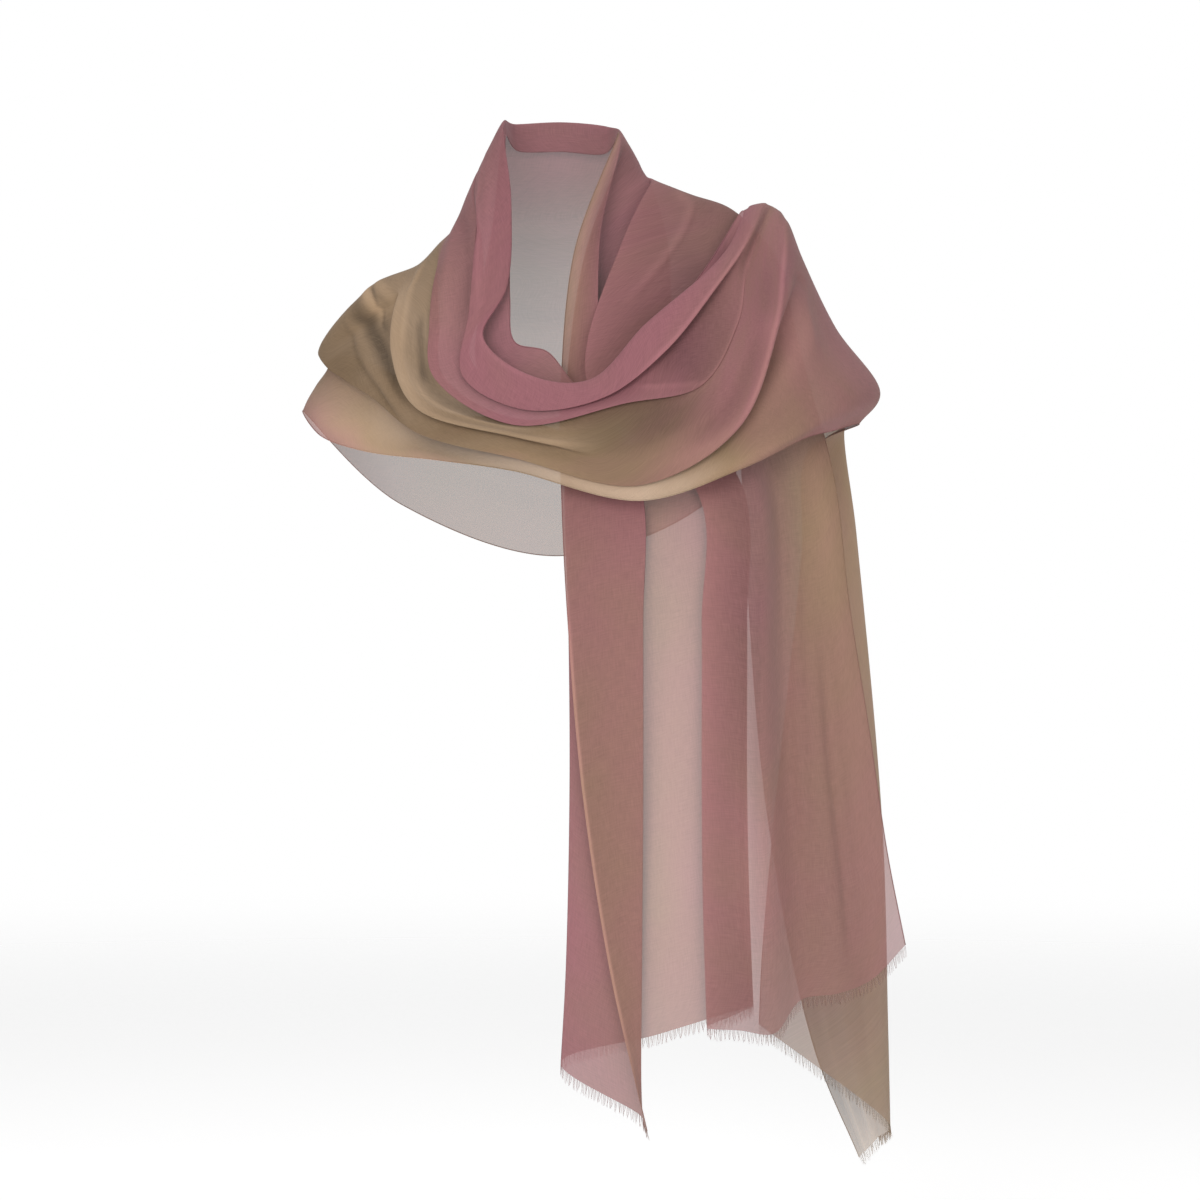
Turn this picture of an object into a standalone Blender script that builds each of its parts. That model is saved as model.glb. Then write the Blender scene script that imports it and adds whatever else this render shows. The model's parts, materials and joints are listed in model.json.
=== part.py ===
"""A long sheer scarf, worn as a wrap, as the closed walls of its cloth.

The scarf is one ribbon of cloth. It starts at the fringed end of the front tail, rises to the right
shoulder, goes round the back of the neck and down the back, comes over the left shoulder, crosses
the chest in a cowl of nested folds and falls again behind the right shoulder to its other end.
The tables below lay the ribbon's fold lines by hand. Each row is one fold line, from the selvage
that lies against the neck to the outer hem, and each column is a station along the cloth.
A place is (across, out, up) in millimetres: across to the right of a front view, out to the front,
up from the nape, where the inside of the cloth rests behind the neck.
"""
import bpy
import numpy as np

MM = 0.001
WALL = 1.2  # thickness of the cloth's solid
SEAM = 1.0  # gap between one stretch and the next
FRINGE_REACH = 9.0  # how far the threads stand past the woven end
FRINGE_GAP = 1.0
FRINGE_WALL = 1.0

# ---- the fold lines of the front tail, from its fringed end up to the top of the right shoulder
FRONT_TAIL_LOWER = {  # end, tail_low, tail_middle, tail_high
    "inner_selvage": [(67, 193, -790), (38, 188, -664), (16, 185, -520), (5, 181, -392)],
    "rim": [(62, 184, -779), (63, 183, -664), (64, 181, -520), (64, 177, -392)],
    "roll_edge": [(-1, 179, -738), (3, 178, -664), (6, 176, -520), (5, 172, -392)],
    "second_edge": [(151, 169, -694), (148, 167, -616), (146, 165, -520), (146, 161, -392)],
    "beige_edge": [(114, 178, -710), (111, 177, -616), (110, 175, -520), (110, 171, -392)],
    "outer_edge": [(167, 176, -715), (162, 175, -616), (159, 172, -520), (158, 167, -392)],
    "wing_upper": [(189, 160, -690), (186, 157, -616), (179, 153, -520), (174, 147, -392)],
    "wing_middle": [(218, 160, -685), (212, 155, -600), (204, 149, -512), (196, 142, -392)],
    "wing_tip": [(246, 145, -675), (236, 140, -584), (226, 135, -496), (215, 128, -376)],
    "hem": [(272, 145, -648), (258, 139, -576), (244, 131, -480), (228, 122, -376)],
}
FRONT_TAIL_UPPER = {  # under_hem, under_roll, collar, ridge
    "inner_selvage": [(0, 164, -296), (-1, 108, -204), (10, 90, -96), (45, 42, -1)],
    "rim": [(64, 160, -292), (34, 112, -208), (30, 97, -88), (47, 46, -5)],
    "roll_edge": [(2, 155, -296), (3, 103, -206), (18, 84, -100), (52, 42, -11)],
    "second_edge": [(145, 145, -292), (94, 102, -204), (84, 72, -88), (68, 36, -36)],
    "beige_edge": [(108, 155, -292), (20, 119, -203), (47, 92, -92), (75, 49, -40)],
    "outer_edge": [(155, 149, -292), (114, 111, -204), (119, 84, -106), (105, 44, -51)],
    "wing_upper": [(170, 131, -292), (146, 98, -200), (146, 74, -112), (132, 42, -60)],
    "wing_middle": [(186, 126, -288), (166, 90, -200), (164, 64, -122), (150, 38, -74)],
    "wing_tip": [(202, 114, -280), (183, 78, -200), (175, 52, -132), (166, 34, -92)],
    "hem": [(217, 108, -280), (196, 68, -196), (183, 42, -140), (178, 30, -112)],
}
# ---- round the back, from the right shoulder to the left one
BACK = {  # back_right, back, back_left, left_ridge
    "inner_selvage": [(34, 8, -16), (0, -1, -14), (-36, 8, -14), (-46, 44, -4)],
    "rim": [(36, 3, 6), (0, -6, 10), (-38, 3, 8), (-48, 42, 7)],
    "roll_edge": [(50, -7, -28), (0, -15, -32), (-52, -6, -32), (-70, 42, -34)],
    "second_edge": [(66, -24, -60), (0, -34, -72), (-72, -24, -75), (-90, 42, -80)],
    "beige_edge": [(80, -34, -90), (0, -48, -112), (-88, -36, -112), (-117, 40, -107)],
    "outer_edge": [(104, -42, -132), (0, -62, -168), (-126, -46, -168), (-197, 44, -176)],
    "wing_upper": [(112, -42, -162), (0, -57, -208), (-130, -44, -206), (-190, 34, -190)],
    "wing_middle": [(122, -48, -202), (0, -66, -254), (-137, -54, -236), (-199, 38, -204)],
    "wing_tip": [(130, -46, -244), (0, -62, -304), (-140, -50, -270), (-206, 40, -216)],
    "hem": [(136, -50, -284), (0, -66, -345), (-134, -46, -302), (-210, 46, -225)],
}
# ---- down over the left shoulder
LEFT_SHOULDER = {  # left_top, left, left_low
    "inner_selvage": [(-42, 74, -68), (-42, 94, -136), (-38, 106, -170)],
    "rim": [(-41, 80, -56), (-44, 101, -126), (-63, 119, -166)],
    "roll_edge": [(-70, 88, -84), (-74, 112, -144), (-79, 133, -197)],
    "second_edge": [(-102, 80, -116), (-106, 105, -156), (-102, 129, -198)],
    "beige_edge": [(-134, 78, -140), (-136, 107, -180), (-116, 137, -222)],
    "outer_edge": [(-190, 68, -191), (-153, 98, -214), (-114, 133, -243)],
    "wing_upper": [(-177, 54, -180), (-137, 84, -195), (-98, 115, -224)],
    "wing_middle": [(-193, 58, -212), (-148, 88, -232), (-103, 119, -248)],
    "wing_tip": [(-200, 62, -230), (-154, 91, -246), (-100, 123, -258)],
    "hem": [(-194, 74, -245), (-158, 97, -257), (-98, 128, -264)],
}
# ---- across the chest
COWL = {  # low, low_right, right, right_high
    "inner_selvage": [(-12, 117, -178), (18, 128, -208), (62, 117, -174), (112, 98, -114)],
    "rim": [(-28, 134, -196), (22, 144, -200), (66, 135, -156), (113, 116, -116)],
    "roll_edge": [(-30, 150, -224), (34, 158, -214), (82, 150, -177), (122, 129, -127)],
    "second_edge": [(-38, 154, -236), (50, 161, -219), (110, 156, -205), (139, 136, -156)],
    "beige_edge": [(-46, 160, -243), (30, 177, -262), (110, 163, -236), (154, 139, -164)],
    "outer_edge": [(-38, 167, -262), (62, 186, -283), (138, 170, -238), (170, 141, -156)],
    "wing_upper": [(-34, 142, -245), (62, 151, -260), (138, 141, -215), (187, 120, -150)],
    "wing_middle": [(-36, 154, -262), (62, 170, -283), (150, 153, -245), (204, 124, -196)],
    "wing_tip": [(-38, 158, -268), (62, 174, -289), (154, 156, -256), (220, 122, -222)],
    "hem": [(-38, 161, -272), (62, 177, -294), (142, 163, -270), (194, 133, -246)],
}
# ---- over the right shoulder and down behind it
WING = {  # shoulder, right_ridge, behind
    "inner_selvage": [(129, 82, -86), (141, 50, -60), (140, -30, -103)],
    "rim": [(132, 95, -94), (148, 56, -58), (146, -40, -108)],
    "roll_edge": [(143, 105, -97), (162, 58, -58), (160, -52, -112)],
    "second_edge": [(148, 97, -106), (169, 53, -61), (168, -44, -116)],
    "beige_edge": [(162, 98, -106), (174, 55, -62), (178, -54, -124)],
    "outer_edge": [(177, 101, -106), (180, 59, -68), (192, -44, -140)],
    "wing_upper": [(193, 80, -116), (194, 50, -104), (206, -34, -165)],
    "wing_middle": [(212, 90, -168), (220, 52, -158), (222, -20, -200)],
    "wing_tip": [(242, 92, -214), (254, 46, -208), (247, 2, -234)],
    "hem": [(215, 108, -241), (230, 72, -240), (224, 66, -264)],
}
BACK_TAIL = {  # fall_top, fall_middle, fall_low, fall_end
    "inner_selvage": [(150, -62, -330), (168, -20, -560), (206, -10, -748), (244, -12, -838)],
    "rim": [(160, -76, -326), (183, -36, -560), (215, -24, -745), (250, -21, -833)],
    "roll_edge": [(171, -58, -326), (190, -16, -560), (219, -9, -742), (247, -7, -830)],
    "second_edge": [(188, -72, -326), (209, -36, -560), (231, -24, -740), (256, -17, -826)],
    "beige_edge": [(198, -52, -326), (214, -14, -560), (233, -7, -738), (251, -2, -823)],
    "outer_edge": [(216, -60, -326), (232, -30, -560), (246, -18, -736), (260, -12, -820)],
    "wing_upper": [(226, -34, -326), (240, -10, -560), (248, -2, -734), (257, 4, -817)],
    "wing_middle": [(238, -12, -326), (253, 8, -560), (259, 14, -732), (263, 17, -814)],
    "wing_tip": [(241, 28, -326), (257, 42, -560), (262, 44, -722), (264, 44, -802)],
    "hem": [(196, 82, -340), (184, 88, -560), (178, 87, -668), (174, 85, -718)],
}
LAID = (FRONT_TAIL_LOWER, FRONT_TAIL_UPPER, BACK, LEFT_SHOULDER, COWL, WING, BACK_TAIL)

# ---- the tucks between the folds, one row for each station
# The first number drops the turn behind the roll below the rim, as a share of the roll's height.
# Each other tuck lies its share of the way from its fold to the next one outwards. A share below 0
# puts it behind its own fold, towards the one before, so that the cloth lies there in three layers.
# The last number moves the tucks out from the body (above 0) or towards it, in millimetres.
STATIONS = {  # roll_back, roll_tuck, second_tuck, beige_tuck, tuck_out
    "end": (0, 0.5, 0.5, 0.5, 0),
    "tail_low": (0, 0.5, 0.5, 0.5, 0),
    "tail_middle": (0, 0.5, 0.5, 0.5, 0),
    "tail_high": (0, 0.5, 0.5, 0.5, 0),
    "under_hem": (0, 0.5, 0.5, 0.5, 0),
    "under_roll": (0, 0.5, 0.5, 0.5, 0),
    "collar": (0, 0.5, 0.5, 0.5, 0),
    "ridge": (0, 0.5, 0.5, 0.5, 0),
    "back_right": (0, 0.5, 0.5, 0.5, 4),
    "back": (0, 0.5, 0.5, 0.5, 6),
    "back_left": (0, 0.5, 0.5, 0.5, 4),
    "left_ridge": (0, 0.4, 0.4, 0.45, 0),
    "left_top": (0.3, 0.1, 0.3, 0.4, -5),
    "left": (0.6, -0.2, 0.1, 0.3, -7),
    "left_low": (0.7, -0.25, -0.15, -0.15, -9),
    "low": (0.9, -0.3, -0.2, -0.4, -11),
    "low_right": (0.7, -0.3, -0.25, -0.1, -11),
    "right": (0.8, -0.35, -0.25, -0.05, -11),
    "right_high": (0.6, -0.3, 0.1, 0.2, -8),
    "shoulder": (0.4, 0.1, 0.3, 0.3, -6),
    "right_ridge": (0.1, 0.4, 0.5, 0.5, -3),
    "behind": (0, 0.5, 0.5, 0.5, 0),
    "fall_top": (0, 0.5, 0.5, 0.5, 0),
    "fall_middle": (0, 0.5, 0.5, 0.5, 0),
    "fall_low": (0, 0.5, 0.5, 0.5, 0),
    "fall_end": (0, 0.5, 0.5, 0.5, 0),
}
SHOULDER_CREST = ("beige_tuck", "left_ridge", (0, 0, 15))  # there the cloth rides up over the shoulder
TUCKS = ("roll_back", "roll_tuck", "second_tuck", "beige_tuck")
BEHIND_RIM = 3.0  # how far the turn behind the roll lies nearer the body than the rim
LINES = (
    "inner_selvage", "roll_back", "rim", "roll_edge", "roll_tuck", "second_edge", "second_tuck",
    "beige_edge", "beige_tuck", "outer_edge", "wing_upper", "wing_middle", "wing_tip", "hem",
)

# ---- the stretches of the cloth, each a solid of its own
# from station, to station, from line, to line, steps between two lines
# A station may be followed by a share of the way to the next one.
STRETCHES = {
    "front_tail_flap": ("end", "under_hem+0.3", "inner_selvage", "roll_tuck", 2),
    "front_tail_panel": ("end", "under_hem+0.3", "roll_tuck", "beige_tuck", 2),
    "front_tail_side": ("end", "under_hem+0.3", "beige_tuck", "hem", 2),
    "right_neck_strip": ("under_hem+0.3", "ridge", "inner_selvage", "roll_tuck", 3),
    "right_shoulder_panel": ("under_hem+0.3", "ridge", "roll_tuck", "hem", 3),
    "nape_band": ("ridge", "left_ridge", "inner_selvage", "roll_tuck", 3),
    "back_drape_upper": ("ridge", "left_ridge", "roll_tuck", "beige_tuck", 3),
    "back_drape_lower": ("ridge", "left_ridge", "beige_tuck", "hem", 3),
    "left_neck_folds": ("left_ridge", "left_low", "inner_selvage", "second_tuck", 3),
    "left_shoulder_fold": ("left_ridge", "left_low", "second_tuck", "wing_upper", 3),
    "left_shoulder_hem": ("left_ridge", "left_low", "wing_upper", "hem", 3),
    "cowl_roll": ("left_low", "right_ridge", "inner_selvage", "roll_tuck", 3),
    "cowl_second_fold": ("left_low", "right_ridge", "roll_tuck", "second_tuck", 3),
    "cowl_third_fold": ("left_low", "right_ridge", "second_tuck", "beige_tuck", 3),
    "cowl_outer_fold": ("left_low", "right_ridge", "beige_tuck", "wing_upper", 3),
    "cowl_hem_band": ("left_low", "right", "wing_upper", "hem", 3),
    "right_wing": ("right", "right_ridge", "wing_upper", "hem", 3),
    "right_shoulder_turn": ("right_ridge", "behind", "inner_selvage", "wing_upper", 3),
    "right_wing_turn": ("right_ridge", "behind", "wing_upper", "hem", 3),
    "back_tail_pleats": ("behind", "fall_end", "inner_selvage", "wing_middle", 3),
    "back_tail_front": ("behind", "fall_end", "wing_middle", "hem", 3),
}
FRINGES = {  # which stretch's woven end it hangs from, and at which end of it
    "front_flap_fringe": "front_tail_flap",
    "front_panel_fringe": "front_tail_panel",
    "front_side_fringe": "front_tail_side",
    "back_pleats_fringe": "back_tail_pleats",
    "back_front_fringe": "back_tail_front",
}
STEPS_ALONG = 2  # between two stations
SPLIT = ((0, 1, 2), (0, 2, 3))  # the two triangles of a four-cornered cell

# ---- the two dyes that run into each other, and how the cloth takes light
PINK = (0.33, 0.14, 0.18, 1.0)
OLIVE = (0.24, 0.17, 0.11, 1.0)
OLIVE_SHARE = {  # 0 is all pink and 1 all olive
    "front_tail_flap": 0.1, "front_tail_panel": 0.2, "front_tail_side": 0.3,
    "right_neck_strip": 0.4, "right_shoulder_panel": 0.3, "nape_band": 0.2,
    "back_drape_upper": 0.5, "back_drape_lower": 0.7, "left_neck_folds": 0.15,
    "left_shoulder_fold": 0.9, "left_shoulder_hem": 0.3, "cowl_roll": 0.05,
    "cowl_second_fold": 0.3, "cowl_third_fold": 0.85, "cowl_outer_fold": 0.7,
    "cowl_hem_band": 0.6, "right_wing": 0.3, "right_shoulder_turn": 0.3,
    "right_wing_turn": 0.4, "back_tail_pleats": 0.9, "back_tail_front": 0.8,
}
ROUGHNESS = 0.55


def laid_lines():
    """The fold lines and the tucks between them, as an array of line, station and (across, out, up)."""
    fold = {line: np.array(sum((table[line] for table in LAID), []), float) for line in FRONT_TAIL_LOWER}
    shares = dict(zip(TUCKS, np.array(list(STATIONS.values()), float).T[:4, :, None]))
    lift = np.array([[0, row[4], 0] for row in STATIONS.values()], float)
    in_front = (lift[:, 1:2] < 0).astype(float)
    roll = (fold["roll_edge"] - fold["rim"]) * [1, 0, 1]
    turned = (fold["inner_selvage"] + fold["rim"]) / 2 + shares["roll_back"] * roll
    fold["roll_back"] = turned - in_front * [0, BEHIND_RIM, 0]
    for i, line in enumerate(LINES):
        if line in TUCKS[1:]:
            before, own, after = (fold[LINES[k]] for k in (i - 3, i - 1, i + 1))
            share = shares[line]
            towards = np.where(share < 0, own - (fold["rim"] if line == "roll_tuck" else before), after - own)
            fold[line] = own + share * towards + lift
    line, name, rise = SHOULDER_CREST
    fold[line][list(STATIONS).index(name)] += rise
    return np.array([fold[line] for line in LINES])


def smooth(knots, at):
    """Places on the smooth curves through knots, which lie along the second axis at 0, 1, 2 and so on.

    Each piece is a cubic between two knots. Its slope at a knot weighs the way in and the way out by
    the roots of their lengths, so that a sharp turn stays tight and makes no loop.
    """
    step = np.diff(knots, axis=1)
    span = np.maximum(np.sqrt(np.linalg.norm(step, axis=2, keepdims=True)), 1e-3)
    rate = step / span
    inner = (span[:, 1:] * rate[:, :-1] + span[:, :-1] * rate[:, 1:]) / (span[:, 1:] + span[:, :-1])
    slope = np.concatenate([rate[:, :1], inner, rate[:, -1:]], axis=1)
    i = np.clip(np.floor(at).astype(int), 0, knots.shape[1] - 2)
    t = (at - i)[None, :, None]
    start, end = knots[:, i], knots[:, i + 1]
    leave, arrive = slope[:, i] * span[:, i], slope[:, i + 1] * span[:, i]
    return (
        (1 + 2 * t) * (1 - t) ** 2 * start
        + t * (1 - t) ** 2 * leave
        + t**2 * (3 - 2 * t) * end
        + t**2 * (t - 1) * arrive
    )


def cloth(along, across):
    """The cloth's middle surface at each pair of a place along the ribbon and a line across it."""
    lines = smooth(laid_lines(), along)
    return smooth(lines.transpose(1, 0, 2), across)


def unit(vectors):
    return vectors / np.maximum(np.linalg.norm(vectors, axis=-1, keepdims=True), 1e-9)


def surface(along, across):
    """The middle surface, its directions along and across, and its normal, in millimetres."""
    small = 0.02
    last_along, last_across = len(STATIONS) - 1, len(LINES) - 1
    points = cloth(along, across)
    forward = cloth(np.clip(along + small, 0, last_along), across)
    backward = cloth(np.clip(along - small, 0, last_along), across)
    right = cloth(along, np.clip(across + small, 0, last_across))
    left = cloth(along, np.clip(across - small, 0, last_across))
    run, width = unit(forward - backward), unit(right - left)
    return points, run, width, unit(np.cross(run, width))


def station(name):
    """The place along the ribbon that a station's name and the share after it give."""
    name, _, share = name.partition("+")
    return list(STATIONS).index(name) + float(share or 0)


def marks(low, high, steps):
    """Evenly spaced places from low to high, with about this many steps between whole numbers."""
    return np.linspace(low, high, max(2, round((high - low) * steps) + 1))


def wall_mesh(name, points, normals, thickness):
    """A closed wall around a grid of points: two skins half the thickness to each side, and its rim.

    Both skins split each cell of the grid along the same diagonal, so that they never cross.
    """
    rows, columns = points.shape[:2]
    skins = [points + side * thickness / 2 * normals for side in (1, -1)]
    places = np.concatenate([skin.reshape(-1, 3) for skin in skins]) * MM
    places[:, 1] *= -1
    index = np.arange(2 * rows * columns).reshape(2, rows, columns)
    sheets = []
    for grid in index:
        corners = np.stack((grid[:-1, :-1], grid[1:, :-1], grid[1:, 1:], grid[:-1, 1:]), axis=-1)
        sheets.append(corners.reshape(-1, 4)[:, SPLIT].reshape(-1, 3))
    faces = [sheets[0], sheets[1][:, ::-1]]
    for edge in (np.s_[0, :], np.s_[:, -1], np.s_[-1, ::-1], np.s_[::-1, 0]):
        front, back = index[0][edge], index[1][edge]
        sides = np.stack((front[:-1], front[1:], back[1:], back[:-1]), axis=-1)
        faces.append(sides[:, SPLIT].reshape(-1, 3))
    faces = np.concatenate(faces)
    mesh = bpy.data.meshes.new(name)
    mesh.from_pydata(places.tolist(), [], faces.tolist())
    mesh.update()
    return mesh


def volume(mesh):
    """Six times the volume that a mesh's faces enclose, above 0 when they face outwards."""
    mesh.calc_loop_triangles()
    at = [vertex.co for vertex in mesh.vertices]
    return sum(at[a].dot(at[b].cross(at[c])) for a, b, c in (t.vertices for t in mesh.loop_triangles))


def add_object(name, mesh, colour):
    """One node, its faces turned outwards, with its own material."""
    if volume(mesh) < 0:
        mesh.flip_normals()
    mesh.shade_smooth()
    material = bpy.data.materials.new(name)
    material.use_nodes = True
    shader = material.node_tree.nodes["Principled BSDF"]
    shader.inputs["Base Color"].default_value = colour
    shader.inputs["Roughness"].default_value = ROUGHNESS
    shader.inputs["Metallic"].default_value = 0.0
    material.diffuse_color = colour
    mesh.materials.append(material)
    bpy.context.scene.collection.objects.link(bpy.data.objects.new(name, mesh))


def dyed(share):
    return tuple((1 - share) * pink + share * olive for pink, olive in zip(PINK, OLIVE))


def stretch_grid(name):
    """A stretch's middle surface and normals, drawn back by half a seam where it meets another one."""
    start, end, first, last, steps = STRETCHES[name]
    along = marks(station(start), station(end), STEPS_ALONG)
    across = marks(LINES.index(first), LINES.index(last), steps)
    points, run, width, normals = surface(along, across)
    if start != "end":
        points[0] += run[0] * SEAM / 2
    if end != "fall_end":
        points[-1] -= run[-1] * SEAM / 2
    if first != LINES[0]:
        points[:, 0] += width[:, 0] * SEAM / 2
    if last != LINES[-1]:
        points[:, -1] -= width[:, -1] * SEAM / 2
    return points, run, normals


def build_stretches():
    for name, share in OLIVE_SHARE.items():
        points, _, normals = stretch_grid(name)
        add_object(name, wall_mesh(name, points, normals, WALL), dyed(share))


def build_fringes():
    """Each fringe is a plain wall of its threads' reach, a seam away from the woven end."""
    for name, stretch in FRINGES.items():
        points, run, normals = stretch_grid(stretch)
        at, outwards = (0, -1) if STRETCHES[stretch][0] == "end" else (-1, 1)
        rows = [points[at] + outwards * run[at] * reach for reach in (FRINGE_GAP, FRINGE_REACH)]
        grid = np.stack(rows)
        sides = np.stack([normals[at]] * 2)
        add_object(name, wall_mesh(name, grid, sides, FRINGE_WALL), dyed(OLIVE_SHARE[stretch]))


def main():
    for old in list(bpy.data.objects):
        bpy.data.objects.remove(old, do_unlink=True)
    build_stretches()
    build_fringes()


main()
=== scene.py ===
"""A long sheer scarf worn as a wrap: the looks of its cloth, selvages and fringes.

The cloth is one ribbon. Its fold lines are laid as (across, out, up) in millimetres, from the
selvage at the neck to the outer hem, at stations along the ribbon. Smooth curves through them give the
middle of the cloth as a function of two parameters, and soft creases are added along its normal.
"""

import json

import bpy
import numpy as np
from bpy.props import FloatProperty, FloatVectorProperty, IntProperty, PointerProperty
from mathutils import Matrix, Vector

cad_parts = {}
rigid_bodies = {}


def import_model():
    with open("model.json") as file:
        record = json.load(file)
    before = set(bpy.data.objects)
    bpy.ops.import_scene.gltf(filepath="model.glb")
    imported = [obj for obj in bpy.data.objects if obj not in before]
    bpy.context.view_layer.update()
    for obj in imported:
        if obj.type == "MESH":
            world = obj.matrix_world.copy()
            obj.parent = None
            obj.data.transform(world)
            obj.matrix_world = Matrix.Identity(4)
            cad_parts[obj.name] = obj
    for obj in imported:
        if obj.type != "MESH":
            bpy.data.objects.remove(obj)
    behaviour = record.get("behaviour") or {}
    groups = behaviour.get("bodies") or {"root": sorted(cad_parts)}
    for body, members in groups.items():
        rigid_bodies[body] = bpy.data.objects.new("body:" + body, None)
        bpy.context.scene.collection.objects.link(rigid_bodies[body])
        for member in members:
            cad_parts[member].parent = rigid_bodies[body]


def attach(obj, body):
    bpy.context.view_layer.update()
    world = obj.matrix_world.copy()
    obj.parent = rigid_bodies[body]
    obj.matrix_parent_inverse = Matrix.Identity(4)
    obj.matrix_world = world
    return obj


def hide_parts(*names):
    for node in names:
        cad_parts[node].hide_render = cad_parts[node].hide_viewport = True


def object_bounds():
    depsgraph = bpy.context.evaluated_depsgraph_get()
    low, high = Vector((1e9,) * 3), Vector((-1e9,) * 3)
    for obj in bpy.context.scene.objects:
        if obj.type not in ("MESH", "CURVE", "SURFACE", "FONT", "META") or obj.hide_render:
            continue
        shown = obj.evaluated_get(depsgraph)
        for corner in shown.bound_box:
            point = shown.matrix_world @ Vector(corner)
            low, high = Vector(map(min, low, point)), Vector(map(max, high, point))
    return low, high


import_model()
CAD_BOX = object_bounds()

bl_info = {
    "name": "Organza Scarf",
    "version": (1, 0, 0),
    "blender": (4, 5, 0),
    "location": "View3D > Sidebar > Scarf",
    "description": "Builds the cloth, selvages and fringes of a sheer scarf worn as a wrap",
    "category": "Add Mesh",
}

MM = 0.001
BODY = "root"

# ---- the fold lines of the front tail, from its fringed end up to the top of the right shoulder
FRONT_TAIL_LOWER = {  # end, tail_low, tail_middle, tail_high
    "inner_selvage": [(67, 193, -790), (38, 188, -664), (16, 185, -520), (5, 181, -392)],
    "rim": [(62, 184, -779), (63, 183, -664), (64, 181, -520), (64, 177, -392)],
    "roll_edge": [(-1, 179, -738), (3, 178, -664), (6, 176, -520), (5, 172, -392)],
    "second_edge": [(151, 169, -694), (148, 167, -616), (146, 165, -520), (146, 161, -392)],
    "beige_edge": [(114, 178, -710), (111, 177, -616), (110, 175, -520), (110, 171, -392)],
    "outer_edge": [(167, 176, -715), (162, 175, -616), (159, 172, -520), (158, 167, -392)],
    "wing_upper": [(189, 160, -690), (186, 157, -616), (179, 153, -520), (174, 147, -392)],
    "wing_middle": [(218, 160, -685), (212, 155, -600), (204, 149, -512), (196, 142, -392)],
    "wing_tip": [(246, 145, -675), (236, 140, -584), (226, 135, -496), (215, 128, -376)],
    "hem": [(272, 145, -648), (258, 139, -576), (244, 131, -480), (228, 122, -376)],
}
FRONT_TAIL_UPPER = {  # under_hem, under_roll, collar, ridge
    "inner_selvage": [(0, 164, -296), (-1, 108, -204), (10, 90, -96), (45, 42, -1)],
    "rim": [(64, 160, -292), (34, 112, -208), (30, 97, -88), (47, 46, -5)],
    "roll_edge": [(2, 155, -296), (3, 103, -206), (18, 84, -100), (52, 42, -11)],
    "second_edge": [(145, 145, -292), (94, 102, -204), (84, 72, -88), (68, 36, -36)],
    "beige_edge": [(108, 155, -292), (20, 119, -203), (47, 92, -92), (75, 49, -40)],
    "outer_edge": [(155, 149, -292), (114, 111, -204), (119, 84, -106), (105, 44, -51)],
    "wing_upper": [(170, 131, -292), (146, 98, -200), (146, 74, -112), (132, 42, -60)],
    "wing_middle": [(186, 126, -288), (166, 90, -200), (164, 64, -122), (150, 38, -74)],
    "wing_tip": [(202, 114, -280), (183, 78, -200), (175, 52, -132), (166, 34, -92)],
    "hem": [(217, 108, -280), (196, 68, -196), (183, 42, -140), (178, 30, -112)],
}
# ---- round the back, from the right shoulder to the left one
BACK = {  # back_right, back, back_left, left_ridge
    "inner_selvage": [(34, 8, -16), (0, -1, -14), (-36, 8, -14), (-46, 44, -4)],
    "rim": [(36, 3, 6), (0, -6, 10), (-38, 3, 8), (-48, 42, 7)],
    "roll_edge": [(50, -7, -28), (0, -15, -32), (-52, -6, -32), (-70, 42, -34)],
    "second_edge": [(66, -24, -60), (0, -34, -72), (-72, -24, -75), (-90, 42, -80)],
    "beige_edge": [(80, -34, -90), (0, -48, -112), (-88, -36, -112), (-117, 40, -107)],
    "outer_edge": [(104, -42, -132), (0, -62, -168), (-126, -46, -168), (-197, 44, -176)],
    "wing_upper": [(112, -42, -162), (0, -57, -208), (-130, -44, -206), (-190, 34, -190)],
    "wing_middle": [(122, -48, -202), (0, -66, -254), (-137, -54, -236), (-199, 38, -204)],
    "wing_tip": [(130, -46, -244), (0, -62, -304), (-140, -50, -270), (-206, 40, -216)],
    "hem": [(136, -50, -284), (0, -66, -345), (-134, -46, -302), (-210, 46, -225)],
}
# ---- down over the left shoulder
LEFT_SHOULDER = {  # left_top, left, left_low
    "inner_selvage": [(-42, 74, -68), (-42, 94, -136), (-38, 106, -170)],
    "rim": [(-41, 80, -56), (-44, 101, -126), (-63, 119, -166)],
    "roll_edge": [(-70, 88, -84), (-74, 112, -144), (-79, 133, -197)],
    "second_edge": [(-102, 80, -116), (-106, 105, -156), (-102, 129, -198)],
    "beige_edge": [(-134, 78, -140), (-136, 107, -180), (-116, 137, -222)],
    "outer_edge": [(-190, 68, -191), (-153, 98, -214), (-114, 133, -243)],
    "wing_upper": [(-177, 54, -180), (-137, 84, -195), (-98, 115, -224)],
    "wing_middle": [(-193, 58, -212), (-148, 88, -232), (-103, 119, -248)],
    "wing_tip": [(-200, 62, -230), (-154, 91, -246), (-100, 123, -258)],
    "hem": [(-194, 74, -245), (-158, 97, -257), (-98, 128, -264)],
}
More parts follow.
